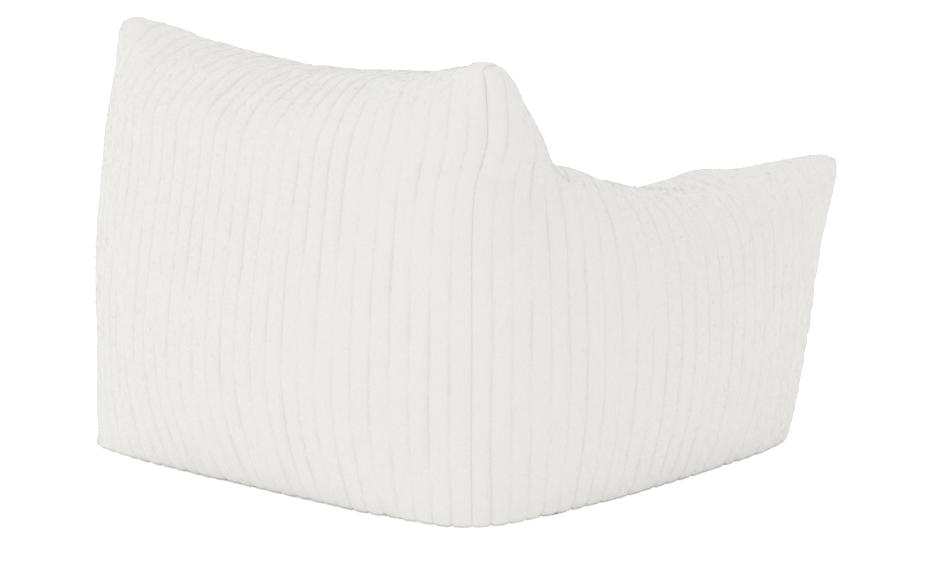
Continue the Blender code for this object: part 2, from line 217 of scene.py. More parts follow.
# Zip parts: light colour, dark colour, roughness, how metallic they are and grain of the scuffs.
HARD_PARTS = {
    "zip_coil_nylon": ((0.80, 0.79, 0.75, 1), (0.70, 0.69, 0.65, 1), 0.35, 0.0, 300.0),
    "zip_slider_metal": ((0.68, 0.68, 0.67, 1), (0.55, 0.55, 0.54, 1), 0.24, 1.0, 900.0),
}

# The pieces under the cover and on its base.
BASE_RIM_SHARE = 0.986
STUD_PITCH = 0.018
STUD_RADIUS = 0.0026
STUD_HEIGHT = 0.0008
STUD_TAPER = 0.65
ZIP_GAP = 0.0008
ZIP_CLEARANCE = (0.325, 0.020)
FILL_VOXEL = 0.012
FILL_SHRINK = 0.0022
COIL_TURN = 0.0015
COIL_WIRE = 0.00024
COIL_POINTS = 7
STITCH_PITCH = 0.0032
STITCH_LENGTH = 0.0024
STITCH_RADIUS = 0.00025
STITCH_INSETS = (0.0035, 0.0056)
# How thick a stitch is, as shares of its radius, at shares of its length.
STITCH_PROFILE = ((0.0, 0.35), (0.25, 1.0), (0.75, 1.0), (1.0, 0.35))
# The lug arches over the slider, where a pull tab would hang.
LUG_REACH = 0.0030
LUG_DROP = 0.0008
LUG_HALF_WIDTH = 0.0008
LUG_THICKNESS = 0.0003
LUG_STEPS = 8

# The floor glows a little, like a lit studio table, and more to the eye than on to the chair.
FLOOR_REACH = 30.0
FLOOR_GLOW = 0.165
FLOOR_GLOW_SEEN = 0.80
# The light from all round, as it falls on the chair and as it is seen behind it, and a soft sun.
AMBIENT_LIGHT = 0.89
BACKDROP_LIGHT = 1.0
SUN_STRENGTH = 0.42
SUN_SOFTNESS = math.radians(70)
SUN_DIRECTION = Vector((-0.10, -0.55, -0.90))
CAMERA_AZIMUTH = math.radians(222.17)
CAMERA_ELEVATION = math.radians(11.12)
CAMERA_DISTANCE = 5.64
CAMERA_AIM = Vector((-0.2463, 0.2072, 0.3090))
CAMERA_LENS = 153.69
CAMERA_SENSOR = 36.0

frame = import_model()


# ---------------------------------------------------------------- the cage


def is_filled(column, row, layer):
    """Whether a cell of the lattice is inside the chair."""
    if not (0 <= column < 4 and 0 <= row < 3 and 0 <= layer < 5):
        return False
    if layer < SEAT:
        return True
    if layer == SEAT:
        return column in (0, 3) or row == BACKREST_ROW
    return row == BACKREST_ROW


def panel_of(cell, direction):
    """The short name of the cover panel on one face of a cell."""
    column, row, layer = cell
    across, along, upwards = direction
    side = "right" if column < 2 else "left"
    if upwards < 0:
        return "base"
    if along > 0:
        return "back"
    if along < 0:
        if row == BACKREST_ROW:
            return "inner_back"
        return "arm_front_" + side if column in (0, 3) else "front"
    if upwards > 0:
        if layer == SHOULDER:
            return "back"
        return "side_" + side if column in (0, 3) else "seat"
    outwards = (across < 0) == (column < 2)
    return ("side_" if outwards else "inner_arm_") + side


def body_point(column, row, layer):
    """Where a lattice point below the shoulders goes."""
    x = (0.0, ARM_INNER, HALF_WIDTH)[abs(column - 2)]
    y = (FRONT_Y, MIDDLE_Y, BACKREST_Y, REAR_Y)[row]
    z = (0.0, BELLY_Z, SEAT_Z, ARM_Z)[layer]
    outer = column in OUTER_COLUMNS
    if outer and row == REAR_ROW:
        x -= REAR_CORNER_CUTS[layer]
        y -= REAR_CORNER_CUTS[layer]
    elif row == REAR_ROW:
        y += BACK_SWELL[abs(column - 2)][layer]
    elif outer and row != FRONT_ROW:
        x += SIDE_SWELL[row - MIDDLE_ROW][layer]
    if row == FRONT_ROW:
        y += FRONT_LEAN * (ARM_Z - z)
        x -= SIDE_LEAN * (ARM_Z - z) * outer
    if layer == BASE:
        x -= BASE_TUCK * outer
        y += BASE_TUCK * ((row == FRONT_ROW) - (row == REAR_ROW))
    if layer == BELLY and row == FRONT_ROW and not outer:
        y -= FRONT_BULGE
    if layer == SEAT and column == 2 and row < BACKREST_ROW:
        z += SEAT_CROWN
    if layer == ARM and column == 2 and row == BACKREST_ROW:
        y -= LUMBAR_BULGE
    if layer == ARM and row == MIDDLE_ROW:
        z -= ARM_SAG
    if layer == ARM and row == FRONT_ROW:
        z -= ARM_INNER_DROP
        if outer:
            x, y, z = ARM_EAR_X, ARM_EAR_Y, ARM_Z - ARM_EAR_DROP
    return x, y, z


def backrest_point(column, row, layer):
    """Where a lattice point at the shoulders or the top goes."""
    outer = column in OUTER_COLUMNS
    at_front = row == BACKREST_ROW
    if layer == SHOULDER:
        x = (0.0, ARM_INNER, SHOULDER_HALF_WIDTH)[abs(column - 2)]
        y = SHOULDER_FRONT_Y if at_front else SHOULDER_REAR_Y[abs(column - 2)]
        cut = SHOULDER_CORNER_CUT * (outer and not at_front)
        rise = SHOULDER_REAR_RISE * (not outer and not at_front)
        return x - cut, y - cut, SHOULDER_Z + rise
    if outer:
        return EAR_HALF_WIDTH, EAR_FRONT_Y if at_front else EAR_REAR_Y, TOP_Z + EAR_RISE
    x = ARM_INNER * abs(column - 2)
    return x, TOP_FRONT_Y if at_front else TOP_REAR_Y, TOP_Z - TOP_SAG * (column == 2)


def place(corner):
    """The position of a lattice point."""
    column, row, layer = corner
    rule = backrest_point if layer > ARM else body_point
    x, y, z = rule(column, row, layer)
    return Vector((x * ((column > 2) - (column < 2)), y, z))


def face_corners(cell, direction):
    """The four lattice points of one face of a cell, anticlockwise seen from outside."""
    axis = next(number for number in range(3) if direction[number])
    first, second = (axis + 1) % 3, (axis + 2) % 3
    corners = []
    for along_first, along_second in ((0, 0), (1, 0), (1, 1), (0, 1)):
        corner = list(cell)
        corner[axis] += direction[axis] > 0
        corner[first] += along_first
        corner[second] += along_second
        corners.append(tuple(corner))
    return corners if direction[axis] > 0 else corners[::-1]


def outside_faces():
    """Each face on the outside of the lattice: its four corners and its panel."""
    for cell in CELLS:
        for direction in DIRECTIONS:
            beyond = tuple(at + by for at, by in zip(cell, direction))
            if is_filled(*cell) and not is_filled(*beyond):
                yield face_corners(cell, direction), panel_of(cell, direction)


def crease_of(one, other):
    """How hard the seam is between two panels that meet on an edge."""
    if one == other:
        return 0.0
    if "base" in (one, other):
        return BASE_CREASE
    if all(name == "seat" or name.startswith("inner") for name in (one, other)):
        return VALLEY_CREASE
    return WELT_CREASE


def is_ear(column, row, layer):
    """Whether a lattice point is at the tip of one of the four ears."""
    return column in OUTER_COLUMNS and (layer == TOP or (layer == ARM and row == FRONT_ROW))


def body_cage():
    """The coarse cage of the cover. Two UV maps carry each point's lattice place through splits."""
    cage = bmesh.new()
    edge_crease = cage.edges.layers.float.new("crease_edge")
    point_crease = cage.verts.layers.float.new("crease_vert")
    plan = cage.loops.layers.uv.new("plan")
    level = cage.loops.layers.uv.new("level")
    points, panels = {}, {}
    for corners, panel in outside_faces():
        for corner in corners:
            if corner not in points:
                points[corner] = cage.verts.new(place(corner))
                points[corner][point_crease] = EAR_CREASE * is_ear(*corner)
        face = cage.faces.new([points[corner] for corner in corners])
        panels[face] = panel
        for loop, corner in zip(face.loops, corners):
            loop[plan].uv = corner[0], corner[1]
            loop[level].uv = corner[2], 0.0
    for edge in cage.edges:
        edge[edge_crease] = crease_of(*(panels[face] for face in edge.link_faces))
    mesh = bpy.data.meshes.new("cage")
    cage.to_mesh(mesh)
    cage.free()
    return mesh


def linked(name, data):
    """A new object in the scene that holds the data."""
    made = bpy.data.objects.new(name, data)
    bpy.context.scene.collection.objects.link(made)
    return made


def evaluated_mesh(holder):
    """A new mesh with the object's modifiers applied."""
    bpy.context.view_layer.update()
    graph = bpy.context.evaluated_depsgraph_get()
    return bpy.data.meshes.new_from_object(holder.evaluated_get(graph), depsgraph=graph)


def split_mesh(mesh, levels):
    """The mesh after so many Catmull-Clark splits."""
    holder = linked("split", mesh)
    smoothing = holder.modifiers.new("smoothing", "SUBSURF")
    smoothing.levels = levels
    smoothing.uv_smooth = "NONE"
    made = evaluated_mesh(holder)
    bpy.data.objects.remove(holder)
    return made


def values_of(items, key, width=1, kind=np.float32):
    """One value of each of a mesh's items, as rows of numbers."""
    values = np.empty(len(items) * width, kind)
    items.foreach_get(key, values)
    return values.reshape(-1, width)


def points_of(mesh):
    return values_of(mesh.vertices, "co", 3).astype(np.float64)


def lattice_of(mesh, steps):
    """Each vertex's place on the lattice, in whole steps."""
    vertex = values_of(mesh.loops, "vertex_index", kind=np.int32)[:, 0]
    plan, level = (values_of(mesh.uv_layers[key].uv, "vector", 2) for key in ("plan", "level"))
    at = np.zeros((len(mesh.vertices), 3), np.int32)
    at[vertex, :2] = np.rint(plan * steps)
    at[vertex, 2] = np.rint(level[:, 0] * steps)
    return at


# ---------------------------------------------------------------- the cloth simulation


def on_seams(lattice, steps):
    """Which vertices lie on a seam of the cover or on its base."""
    column, row, layer = (lattice / steps).T
    outer, inner_arm = np.isin(column, OUTER_COLUMNS), np.isin(column, INNER_ARM_COLUMNS)
    between_arms = (column >= 1) & (column <= 3)
    front, backrest, rear = row == FRONT_ROW, row == BACKREST_ROW, row == REAR_ROW
    before_backrest = row <= BACKREST_ROW
    base, top, above_arm = layer == BASE, layer == TOP, layer >= ARM
    seams = base | (outer & rear) | (outer & top) | (top & backrest)
    seams |= front & (outer | inner_arm | above_arm)
    seams |= backrest & outer & above_arm
    seams |= inner_arm & above_arm & before_backrest
    seams |= backrest & (layer == ARM) & ((column <= 1) | (column >= 3))
    seams |= (layer == SEAT) & before_backrest & between_arms & (inner_arm | backrest | front)
    seams |= backrest & inner_arm & (layer >= SEAT) & (layer <= ARM)
    return seams


def on_rear_corners(lattice, steps):
    """Which vertices lie on a rear corner seam, which sits in a groove between two ribs."""
    column, row, layer = (lattice / steps).T
    return np.isin(column, OUTER_COLUMNS) & (row == REAR_ROW) & (layer < REAR_CORNER_TOP)


def inflate(mesh, steps):
    """Blows the cover up with the cloth solver, held at its seams and on its base."""
    start = points_of(mesh)
    holder = linked("inflated", mesh)
    held = holder.vertex_groups.new(name="held")
    lattice = lattice_of(mesh, steps)
    on_base = lattice[:, 2] == 0
    seams = on_seams(lattice, steps) & (on_base | ~on_rear_corners(lattice, steps))
    held.add(np.flatnonzero(seams).tolist(), 1.0, "REPLACE")
    cloth = holder.modifiers.new("cloth", "CLOTH")
    for setting, value in CLOTH_SETTINGS.items():
        setattr(cloth.settings, setting, value)
    cloth.settings.effector_weights.gravity = 0.0
    cloth.collision_settings.use_collision = False
    for number in range(1, SIM_FRAMES + 1):
        bpy.context.scene.frame_set(number)
    swollen = points_of(evaluated_mesh(holder))
    bpy.data.objects.remove(holder)
    bpy.context.scene.frame_set(1)
    moved = swollen - start
    length = np.linalg.norm(moved, axis=1, keepdims=True)
    column, row, layer = (lattice / steps).T
    inner = (row <= BACKREST_ROW) & (layer >= SEAT) & (column >= 1) & (column <= 3)
    inner |= (row == BACKREST_ROW) & (layer >= ARM)
    most = np.where(inner, INNER_SWELL, OUTER_SWELL)[:, None]
    capped = most * np.tanh(length / most)
    return start + moved * capped / np.maximum(length, 1e-9)


# ---------------------------------------------------------------- noise


def noise(points, seed):
    """Smooth noise from -1 to 1 for points of one, two or three numbers, one blob to a unit."""
    table = np.random.default_rng(seed).uniform(-1, 1, (32, 32, 32))
    points = np.atleast_2d(points)
    full = np.zeros((len(points), 3))
    full[:, : points.shape[1]] = points
    low = np.floor(full).astype(int)
    part = full - low
    part = part * part * (3 - 2 * part)
    total = np.zeros(len(points))
    for corner in range(8):
        step = np.array([corner & 1, corner >> 1 & 1, corner >> 2 & 1])
        weight = np.prod(np.where(step, part, 1 - part), axis=1)
        at = (low + step) % 32
        total += weight * table[at[:, 0], at[:, 1], at[:, 2]]
    return total


def smooth_step(low, high, value):
    part = np.clip((value - low) / (high - low), 0, 1)
    return part * part * (3 - 2 * part)


# ---------------------------------------------------------------- the surface


cage = body_cage()
coarse = split_mesh(cage, SIM_LEVELS)
coarse_steps = 2**SIM_LEVELS
coarse.vertices.foreach_set("co", inflate(coarse.copy(), coarse_steps).ravel())
for name in ("crease_edge", "crease_vert"):
    layer = coarse.attributes.get(name)
    if layer:
        coarse.attributes.remove(layer)
fine = split_mesh(coarse, FINE_LEVELS)
surface_points = points_of(fine)
surface_normals = values_of(fine.vertex_normals, "vector", 3).astype(np.float64)
for centre, radius, rise in SETTLED:
    away = np.linalg.norm(surface_points - np.array(centre), axis=1, keepdims=True)
    surface_points += surface_normals * rise * np.exp(-((away / radius) ** 2))
lattice = lattice_of(fine, STEPS)
vertex_at = np.full((4 * STEPS + 1, 3 * STEPS + 1, 5 * STEPS + 1), -1, np.int32)
vertex_at[tuple(lattice.T)] = np.arange(len(lattice))
# Two kinds of seam don't dent the pile: the base's, which the pile hides down to the floor, and
# those of the rear corners, which lie in a groove between two ribs.
dented = on_seams(lattice, STEPS) & (lattice[:, 2] > 0) & ~on_rear_corners(lattice, STEPS)
seam_points = surface_points[dented]
seam_tree = KDTree(len(seam_points))
for number, point in enumerate(seam_points):
    seam_tree.insert(point, number)
seam_tree.balance()


def walk(*corners):
    """Lattice points in whole steps along a line that turns at the corners."""
    line = []
    for start, end in zip(corners, corners[1:]):
        start, end = np.array(start) * STEPS, np.array(end) * STEPS
        count = int(abs(end - start).max())
        line += [start + (end - start) * number // count for number in range(count)]
    return np.array([*line, np.array(corners[-1]) * STEPS])


def surface_patch(across_axis, across, path):
    """Points and normals of a part of the surface: rows along the path, columns across it."""
    across = walk((across[0],), (across[1],))[:, 0]
    path = walk(*path)
    at = np.empty((len(path), len(across), 3), int)
    at[:, :, across_axis] = across
    others = [axis for axis in range(3) if axis != across_axis]
    at[:, :, others] = path[:, None, :]
    found = vertex_at[at[..., 0], at[..., 1], at[..., 2]]
    if (found < 0).any():
        raise ValueError("a patch of the cover leaves its surface")
    return surface_points[found], surface_normals[found]


def arc_lengths(points, axis):
    """Distance along the surface from the first point of each line."""
    steps = np.linalg.norm(np.diff(points, axis=axis), axis=2)
    start = np.zeros_like(np.take(steps, [0], axis=axis))
    return np.cumsum(np.concatenate([start, steps], axis=axis), axis=axis)


def thin_rows(points):
    """Which rows of a patch to keep, so that they are about ROW_STEP apart."""
    along = arc_lengths(points, 0).mean(axis=1)
    count = max(2, round(along[-1] / ROW_STEP) + 1)
    wanted = np.linspace(0, along[-1], count)
    return np.unique(np.searchsorted(along, wanted - 1e-9).clip(0, len(along) - 1))


def rib_columns(low, high, *fixed):
    """Where the columns of a ribbed mesh run: close together at each groove."""
    offsets = RIB_PITCH * np.array([0.0, 0.035, 0.08, 0.16, 0.35, 0.65, 0.84, 0.92, 0.965])
    first, last = math.floor(low / RIB_PITCH) - 1, math.ceil(high / RIB_PITCH) + 1
    columns = (np.arange(first, last)[:, None] * RIB_PITCH + offsets).ravel()
    columns = [u for u in columns if all(abs(u - v) > 0.0008 for v in (low, high, *fixed))]
    columns = [u for u in columns if low < u < high]
    return np.array(sorted([*columns, low, high, *fixed]))


class Panel:
    """The vertices and faces of one cover panel, gathered patch by patch."""

    def __init__(self, columns):
        self.columns = columns
        self.points, self.normals, self.across, self.along = [], [], [], []
        self.faces, self.rows = [], 0

    def add(self, patch, across, along, shift, keep_first):
        """Adds a patch whose lines have the given distances across and along. shift moves its ribs."""
        points, normals = patch
        keep = thin_rows(points)
        first_row = self.rows - 1 if keep_first else self.rows
        made = []
        for number, row in enumerate(keep):
            u = across[row]
            low, high = u[0], u[-1]
            start = max(0, np.searchsorted(self.columns, low + 1e-7, "right") - 1)
            end = min(len(self.columns) - 1, np.searchsorted(self.columns, high - 1e-7))
            made.append((start, end))
            if keep_first and number == 0:
                continue
            at = self.columns.clip(low, high)
            length = np.interp(at, u, along[row])
            inside = smooth_step(0, 0.02, at - low) * smooth_step(0, 0.02, high - at)
            moved = (at + shift(at, length, low, high) * inside).clip(low, high)
            self.points.append([np.interp(moved, u, points[row][:, axis]) for axis in range(3)])
            self.normals.append([np.interp(moved, u, normals[row][:, axis]) for axis in range(3)])
            self.across.append(at)
            self.along.append(length)
            self.rows += 1
        width = len(self.columns)
        for number in range(len(keep) - 1):
            lower, upper = first_row + number, first_row + number + 1
            low_ids = lower * width + np.arange(width).clip(*made[number])
            high_ids = upper * width + np.arange(width).clip(*made[number + 1])
            for one, two, three, four in zip(low_ids, low_ids[1:], high_ids[1:], high_ids):
                if one == two and three == four:
                    continue
                corners = [one, two, three, four]
                if one == two:
                    corners = [one, three, four]
                elif three == four:
                    corners = [one, two, three]
                self.faces.append(corners)

    def arrays(self):
        """Points, normals and cloth places of the vertices in use, and the faces on them."""
        used = np.unique(np.concatenate(self.faces))
        renumber = np.full(self.rows * len(self.columns), -1)
        renumber[used] = np.arange(len(used))
        faces = [renumber[face].tolist() for face in self.faces]
        points = np.array(self.points).transpose(0, 2, 1).reshape(-1, 3)[used]
        normals = np.array(self.normals).transpose(0, 2, 1).reshape(-1, 3)[used]
        normals /= np.linalg.norm(normals, axis=1, keepdims=True)
        cloth = np.stack([np.ravel(self.across), np.ravel(self.along)], axis=1)[used]
        return points, normals, cloth, faces


# ---------------------------------------------------------------- ribs and pile


def seam_distance(points):
    """How far each point is from the nearest seam that dents the pile."""
    return np.array([seam_tree.find(point)[2] for point in points])


def waver(seed):
    """How far ribs stray sideways, slowly and quickly along their length."""

    def shift(across, along, low, high):
        slow = noise(np.stack([across / 0.09, along / 0.16], 1), seed)
        quick = noise(np.stack([across / 0.03, along / 0.045], 1), seed + 1)
        return SLOW_STRAY * slow + QUICK_STRAY * quick

    return shift


def relief(points, cloth, seams, seed):
    """Height of the pile above the smooth surface, and how deep in a groove or how near a seam each
    point is, which sets the painted shade there.
    """
    across, along = cloth.T
    place_in_rib = across / RIB_PITCH
    rib_number = np.rint(place_in_rib)
    from_groove = np.abs(place_in_rib - rib_number) * RIB_PITCH
    # The pile closes over a groove here and there, and over all of them next to a seam.
    slow = noise(np.stack([rib_number * 7.3, along / 0.070], 1), seed + 2)
    quick = noise(np.stack([rib_number * 3.1, along / 0.018], 1), seed + 6)
    opening = np.clip(GROOVE_OPENING + 0.55 * slow + 0.30 * quick, *OPENING_RANGE)
    opening *= 1 - SEAM_CLOSING * np.exp(-((seams / BAND_WIDTH) ** 2))
    # The pile is fuller towards the left of the back and towards the front of the sides.
    x, y = points[:, 0], points[:, 1]
    fuller_back = smooth_step(0.20, 0.42, x) * smooth_step(0.15, 0.25, y)
    fuller_sides = smooth_step(0.05, 0.35, -y) * smooth_step(0.36, 0.42, np.abs(x))
    opening *= 1 - GROOVE_FADE * np.maximum(fuller_back, fuller_sides)
    # The grooves at a panel's sides are even, so that they meet the next panel's.
    at_sides = np.rint(np.array([across.min(), across.max()]) / RIB_PITCH)
    opening[np.isin(rib_number, at_sides)] = SIDE_OPENING
    width = GROOVE_WIDTH * (0.8 + 0.5 * opening)
    groove = opening * (1 + (from_groove / width) ** 2) ** -1.5
    crown = (2 * from_groove / RIB_PITCH - 1) ** 2
    seam = np.exp(-((seams / SEAM_WIDTH) ** 1.5))
    from_side = np.minimum(across - across.min(), across.max() - across)
    clumps = noise(np.stack([across / 0.008, along / 0.016], 1), seed + 3)
    clumps *= smooth_step(0.0, 0.006, from_side)
    tufts = noise(points / 0.0055, 4)
    dents = noise(points / 0.05, 5)
    near_seam = np.exp(-((seams / (1.5 * BAND_WIDTH)) ** 2))
    height = -GROOVE_DEPTH * groove - WALE_CROWN * crown - SEAM_DEPTH * seam
    height += CLUMP_HEIGHT * (1 + near_seam) * (clumps + tufts) + DENT_HEIGHT * dents
    # The second value is the mask of painted shade: full at a groove's bottom, less beside a seam.
    return height, np.maximum(groove, 0.3 * seam)


def closed_shell(name, outer, inner, faces):
    """A mesh object between two sheets of the same faces, closed round their rim."""
    count = len(outer)
    edges = dict.fromkeys(edge for face in faces for edge in zip(face, face[1:] + face[:1]))
    rim = [edge for edge in edges if edge[::-1] not in edges]
    shell = [*faces]
    shell += [[index + count for index in reversed(face)] for face in faces]
    shell += [[end, start, start + count, end + count] for start, end in rim]
    mesh = bpy.data.meshes.new(name)
    mesh.from_pydata(np.concatenate([outer, inner]), [], shell)
    smooth = np.ones(len(shell), bool)
    smooth[2 * len(faces) :] = False
    mesh.polygons.foreach_set("use_smooth", smooth)
    return linked(name, mesh)


def add_tufts(name, outer, normals, faces, seed):
    """Tufts of fibre scattered evenly over a panel, each a thin pointed pyramid."""
    random = np.random.default_rng(seed)
    corners = np.array([face[:3] for face in faces] + [[f[0], f[2], f[3]] for f in faces if f[3:]])
    one, two, three = (outer[corners[:, number]] for number in range(3))
    areas = np.linalg.norm(np.cross(two - one, three - one), axis=1) / 2
    count = int(areas.sum() / TUFT_SPACING**2)
    picked = np.searchsorted(np.cumsum(areas), random.uniform(0, areas.sum(), count))
    picked = picked.clip(0, len(corners) - 1)
    share = np.sort(random.uniform(0, 1, (count, 2)), axis=1)
    weights = np.stack([share[:, 0], share[:, 1] - share[:, 0], 1 - share[:, 1]], 1)
    at = (outer[corners[picked]] * weights[..., None]).sum(axis=1)
    up = (normals[corners[picked]] * weights[..., None]).sum(axis=1)
    up /= np.linalg.norm(up, axis=1, keepdims=True)
    nap = np.array([0.0, 0.0, -1.0]) + up * up[:, 2:]
    towards = up + TUFT_LEAN * nap + TUFT_SPREAD * random.normal(0, 1, (count, 3))
    towards /= np.linalg.norm(towards, axis=1, keepdims=True)
    aside = np.cross(towards, random.normal(0, 1, (count, 3)))
    aside /= np.linalg.norm(aside, axis=1, keepdims=True)
    third = np.cross(towards, aside)
    length = TUFT_LENGTH * random.uniform(0.5, 1.2, (count, 1))
    width = 0.5 * TUFT_WIDTH * random.uniform(0.7, 1.3, (count, 1))
    root = at - TUFT_ROOT * up
    points = np.stack(
        [
            root + width * aside,
            root + width * (-0.5 * aside + 0.87 * third),
            root + width * (-0.5 * aside - 0.87 * third),
            root + length * towards,
        ],
        1,
    ).reshape(-1, 3)
    points[:, 2] = points[:, 2].clip(0.0003)
    first = 4 * np.arange(count)[:, None]
    sides = np.array([[0, 2, 1], [0, 1, 3], [1, 2, 3], [2, 0, 3]])
    triangles = (first[:, :, None] + sides[None]).reshape(-1, 3)
    mesh = bpy.data.meshes.new(name)
    mesh.from_pydata(points, [], triangles.tolist())
    # Tufts are lit as the cloth under them is, so that the pile looks soft.
    mesh.shade_smooth()
    mesh.normals_split_custom_set_from_vertices(np.repeat(up, 4, axis=0))
    return linked(name, mesh)


def add_plush(name, panel, seed):
    """Turns a gathered panel into a ribbed plush shell."""
    points, normals, cloth, faces = panel.arrays()
    first = faces[len(faces) // 2]
    corners = points[first]
    facing = np.cross(corners[1] - corners[0], corners[2] - corners[1]) @ normals[first[0]]
    if facing < 0:
        faces = [face[::-1] for face in faces]
    height, groove = relief(points, cloth, seam_distance(points), seed)
    outer = points + normals * height[:, None]
    inner = points - normals * PANEL_THICKNESS
    outer[:, 2] = outer[:, 2].clip(LEAST_HEIGHT)
    inner[:, 2] = inner[:, 2].clip(LEAST_HEIGHT)
    made = closed_shell(name, outer, inner, faces)
    tufts = add_tufts(name.replace("plush", "pile"), outer, normals, faces, seed + 50)
    tufts.parent = made
    # Painted shade: the material darkens the plush by this attribute in its grooves and beside its
    # seams.
    attribute = made.data.attributes.new("groove", "FLOAT", "POINT")
    attribute.data.foreach_set("value", np.concatenate([groove, groove]).astype(np.float32))
    place_in_cloth = np.concatenate([cloth, cloth])
    corners = values_of(made.data.loops, "vertex_index", kind=np.int32)[:, 0]
    layer = made.data.uv_layers.new(name="cloth")
    layer.uv.foreach_set("vector", place_in_cloth[corners].astype(np.float32).ravel())
    return made


# ---------------------------------------------------------------- the panels


def back_panel():
    patch = surface_patch(0, (0, 4), ((3, 0), (3, 5), (2, 5)))
    across = arc_lengths(patch[0], 1)
    half_ribs = round(across[:, -1].max() / 2 / RIB_PITCH)
    across = (across / across[:, -1:] - 0.5) * 2 * half_ribs * RIB_PITCH
    edge = half_ribs * RIB_PITCH

    panel = Panel(rib_columns(-edge, edge))
    panel.add(patch, across, arc_lengths(patch[0], 0), waver(10), False)
    return panel


def side_panel(side):
    outer, inner = (0, 1) if side == "right" else (4, 3)
    wall = surface_patch(1, (3, 0), ((outer, 0), (outer, 3)))
    top = surface_patch(1, (2, 0), ((outer, 3), (inner, 3)))
    cheek = surface_patch(1, (3, 2), ((outer, 3), (outer, 5)))
    wall_across, wall_along = arc_lengths(wall[0], 1), arc_lengths(wall[0], 0)
    corner = STEPS
    valley = wall_across[-1, corner]
    top_across = arc_lengths(top[0], 1) + valley
    cheek_across = arc_lengths(cheek[0], 1)

    highest = max(wall_across.max(), top_across.max())
    panel = Panel(rib_columns(0.0, highest, valley))
    bend = waver(20)
    panel.add(wall, wall_across, wall_along, bend, False)
    last_wall_row = panel.rows - 1
    panel.add(top, top_across, arc_lengths(top[0], 0) + wall_along[-1, corner:], bend, True)
    cheek_along = arc_lengths(cheek[0], 0) + wall_along[-1, : corner + 1]
    add_from_row(panel, last_wall_row, cheek, cheek_across, cheek_along, bend)
    return panel


def add_from_row(panel, row, patch, across, along, shift):
    """Adds a patch that grows from an earlier row of the panel."""
    faces_before = len(panel.faces)
    first = panel.rows - 1
    panel.add(patch, across, along, shift, True)
    width = len(panel.columns)
    for face in panel.faces[faces_before:]:
        for number, index in enumerate(face):
            if index // width == first:
                face[number] = row * width + index % width


def inner_back_panel():
    lower = surface_patch(0, (1, 3), ((2, 2), (2, 3)))
    upper = surface_patch(0, (0, 4), ((2, 3), (2, 5)))
    lower_across, upper_across = arc_lengths(lower[0], 1), arc_lengths(upper[0], 1)
    lower_across -= lower_across[:, STEPS : STEPS + 1]
    upper_across -= upper_across[:, 2 * STEPS : 2 * STEPS + 1]
    upper_along = arc_lengths(upper[0], 0)
    # The panel is gathered from its widest row downwards, because that row holds every column.
    panel = Panel(
        rib_columns(
            upper_across[:, 0].min(), upper_across[:, -1].max(),
            upper_across[0, STEPS], upper_across[0, 3 * STEPS],
        )
    )
    bend = waver(30)
    panel.add(upper, upper_across, upper_along, bend, False)
    flipped = [array[::-1] for array in lower]
    lower_along = -arc_lengths(flipped[0], 0)
    first_faces = len(panel.faces)
    add_from_row(panel, 0, flipped, lower_across[::-1], lower_along, bend)
    for face in panel.faces[first_faces:]:
        face.reverse()
    return panel


def plain_panel(across_axis, across, path, seed):
    """A panel with four corners. Its ribs run evenly between its sides."""
    patch = surface_patch(across_axis, across, path)
    lengths = arc_lengths(patch[0], 1)
    ribs = round(lengths[:, -1].mean() / RIB_PITCH)
    lengths = lengths / lengths[:, -1:] * ribs * RIB_PITCH
    panel = Panel(rib_columns(0.0, ribs * RIB_PITCH))
    panel.add(patch, lengths, arc_lengths(patch[0], 0), waver(seed), False)
    return panel


def plush_panels():
    """Each outer panel of the cover, with its short name."""
    yield "back", back_panel()
    for side in ("right", "left"):
        yield "side_" + side, side_panel(side)
    yield "inner_back", inner_back_panel()
    for side, column in (("right", 1), ("left", 3)):
        yield "inner_arm_" + side, plain_panel(1, (2, 0), ((column, 2), (column, 3)), 40 + column)
    yield "seat", plain_panel(0, (1, 3), ((2, 2), (0, 2)), 50)
    yield "front", plain_panel(0, (1, 3), ((0, 0), (0, 2)), 60)
    for side, columns in (("right", (0, 1)), ("left", (3, 4))):
        yield "arm_front_" + side, plain_panel(0, columns, ((0, 0), (0, 3)), 70 + columns[0])


# ---------------------------------------------------------------- materials


class Nodes:
    """Short names for making and joining the nodes of one material."""

    def __init__(self, name):
        self.material = bpy.data.materials.new(name)
        self.material.use_nodes = True
        self.tree = self.material.node_tree
        self.surface = self.tree.nodes["Principled BSDF"]

    def feed(self, socket, value):
        """Links another socket to this one, or sets it to a constant."""
        if isinstance(value, bpy.types.NodeSocket):
            self.tree.links.new(value, socket)
        else:
            socket.default_value = value

    def add(self, kind, inputs=None, **settings):
        node = self.tree.nodes.new(kind)
        for key, value in settings.items():
            setattr(node, key, value)
        for key, value in (inputs or {}).items():
            self.feed(node.inputs[key], value)
        return node

    def set(self, **values):
        for key, value in values.items():
            self.feed(self.surface.inputs[key.replace("_", " ")], value)

    def place_at(self):
        return self.add("ShaderNodeTexCoord").outputs["Object"]

    def spread(self, factor, low, high):
        """Turns a factor from 0 to 1 into a number from low to high."""
        values = {"Value": factor, "To Min": low, "To Max": high}
        return self.add("ShaderNodeMapRange", values).outputs[0]

    def math(self, operation, one, two):
        return self.add("ShaderNodeMath", {0: one, 1: two}, operation=operation).outputs[0]

    def noise(self, vector, scale, detail=2.0, roughness=0.5):
        values = {"Vector": vector, "Scale": scale, "Detail": detail, "Roughness": roughness}
        return self.add("ShaderNodeTexNoise", values).outputs["Fac"]

    def scaled(self, vector, factors):
        return self.add("ShaderNodeMapping", {"Vector": vector, "Scale": factors}).outputs[0]

    def mix(self, factor, one, two):
        node = self.add("ShaderNodeMix", data_type="RGBA")
        for key, value in (("Factor", factor), ("A", one), ("B", two)):
            self.feed(next(s for s in node.inputs if s.name == key and s.enabled), value)
        return next(s for s in node.outputs if s.enabled)

    def bump(self, height, strength, distance, normal=None):
        values = {"Height": height, "Strength": strength, "Distance": distance}
        if normal is not None:
            values["Normal"] = normal
        return self.add("ShaderNodeBump", values).outputs[0]


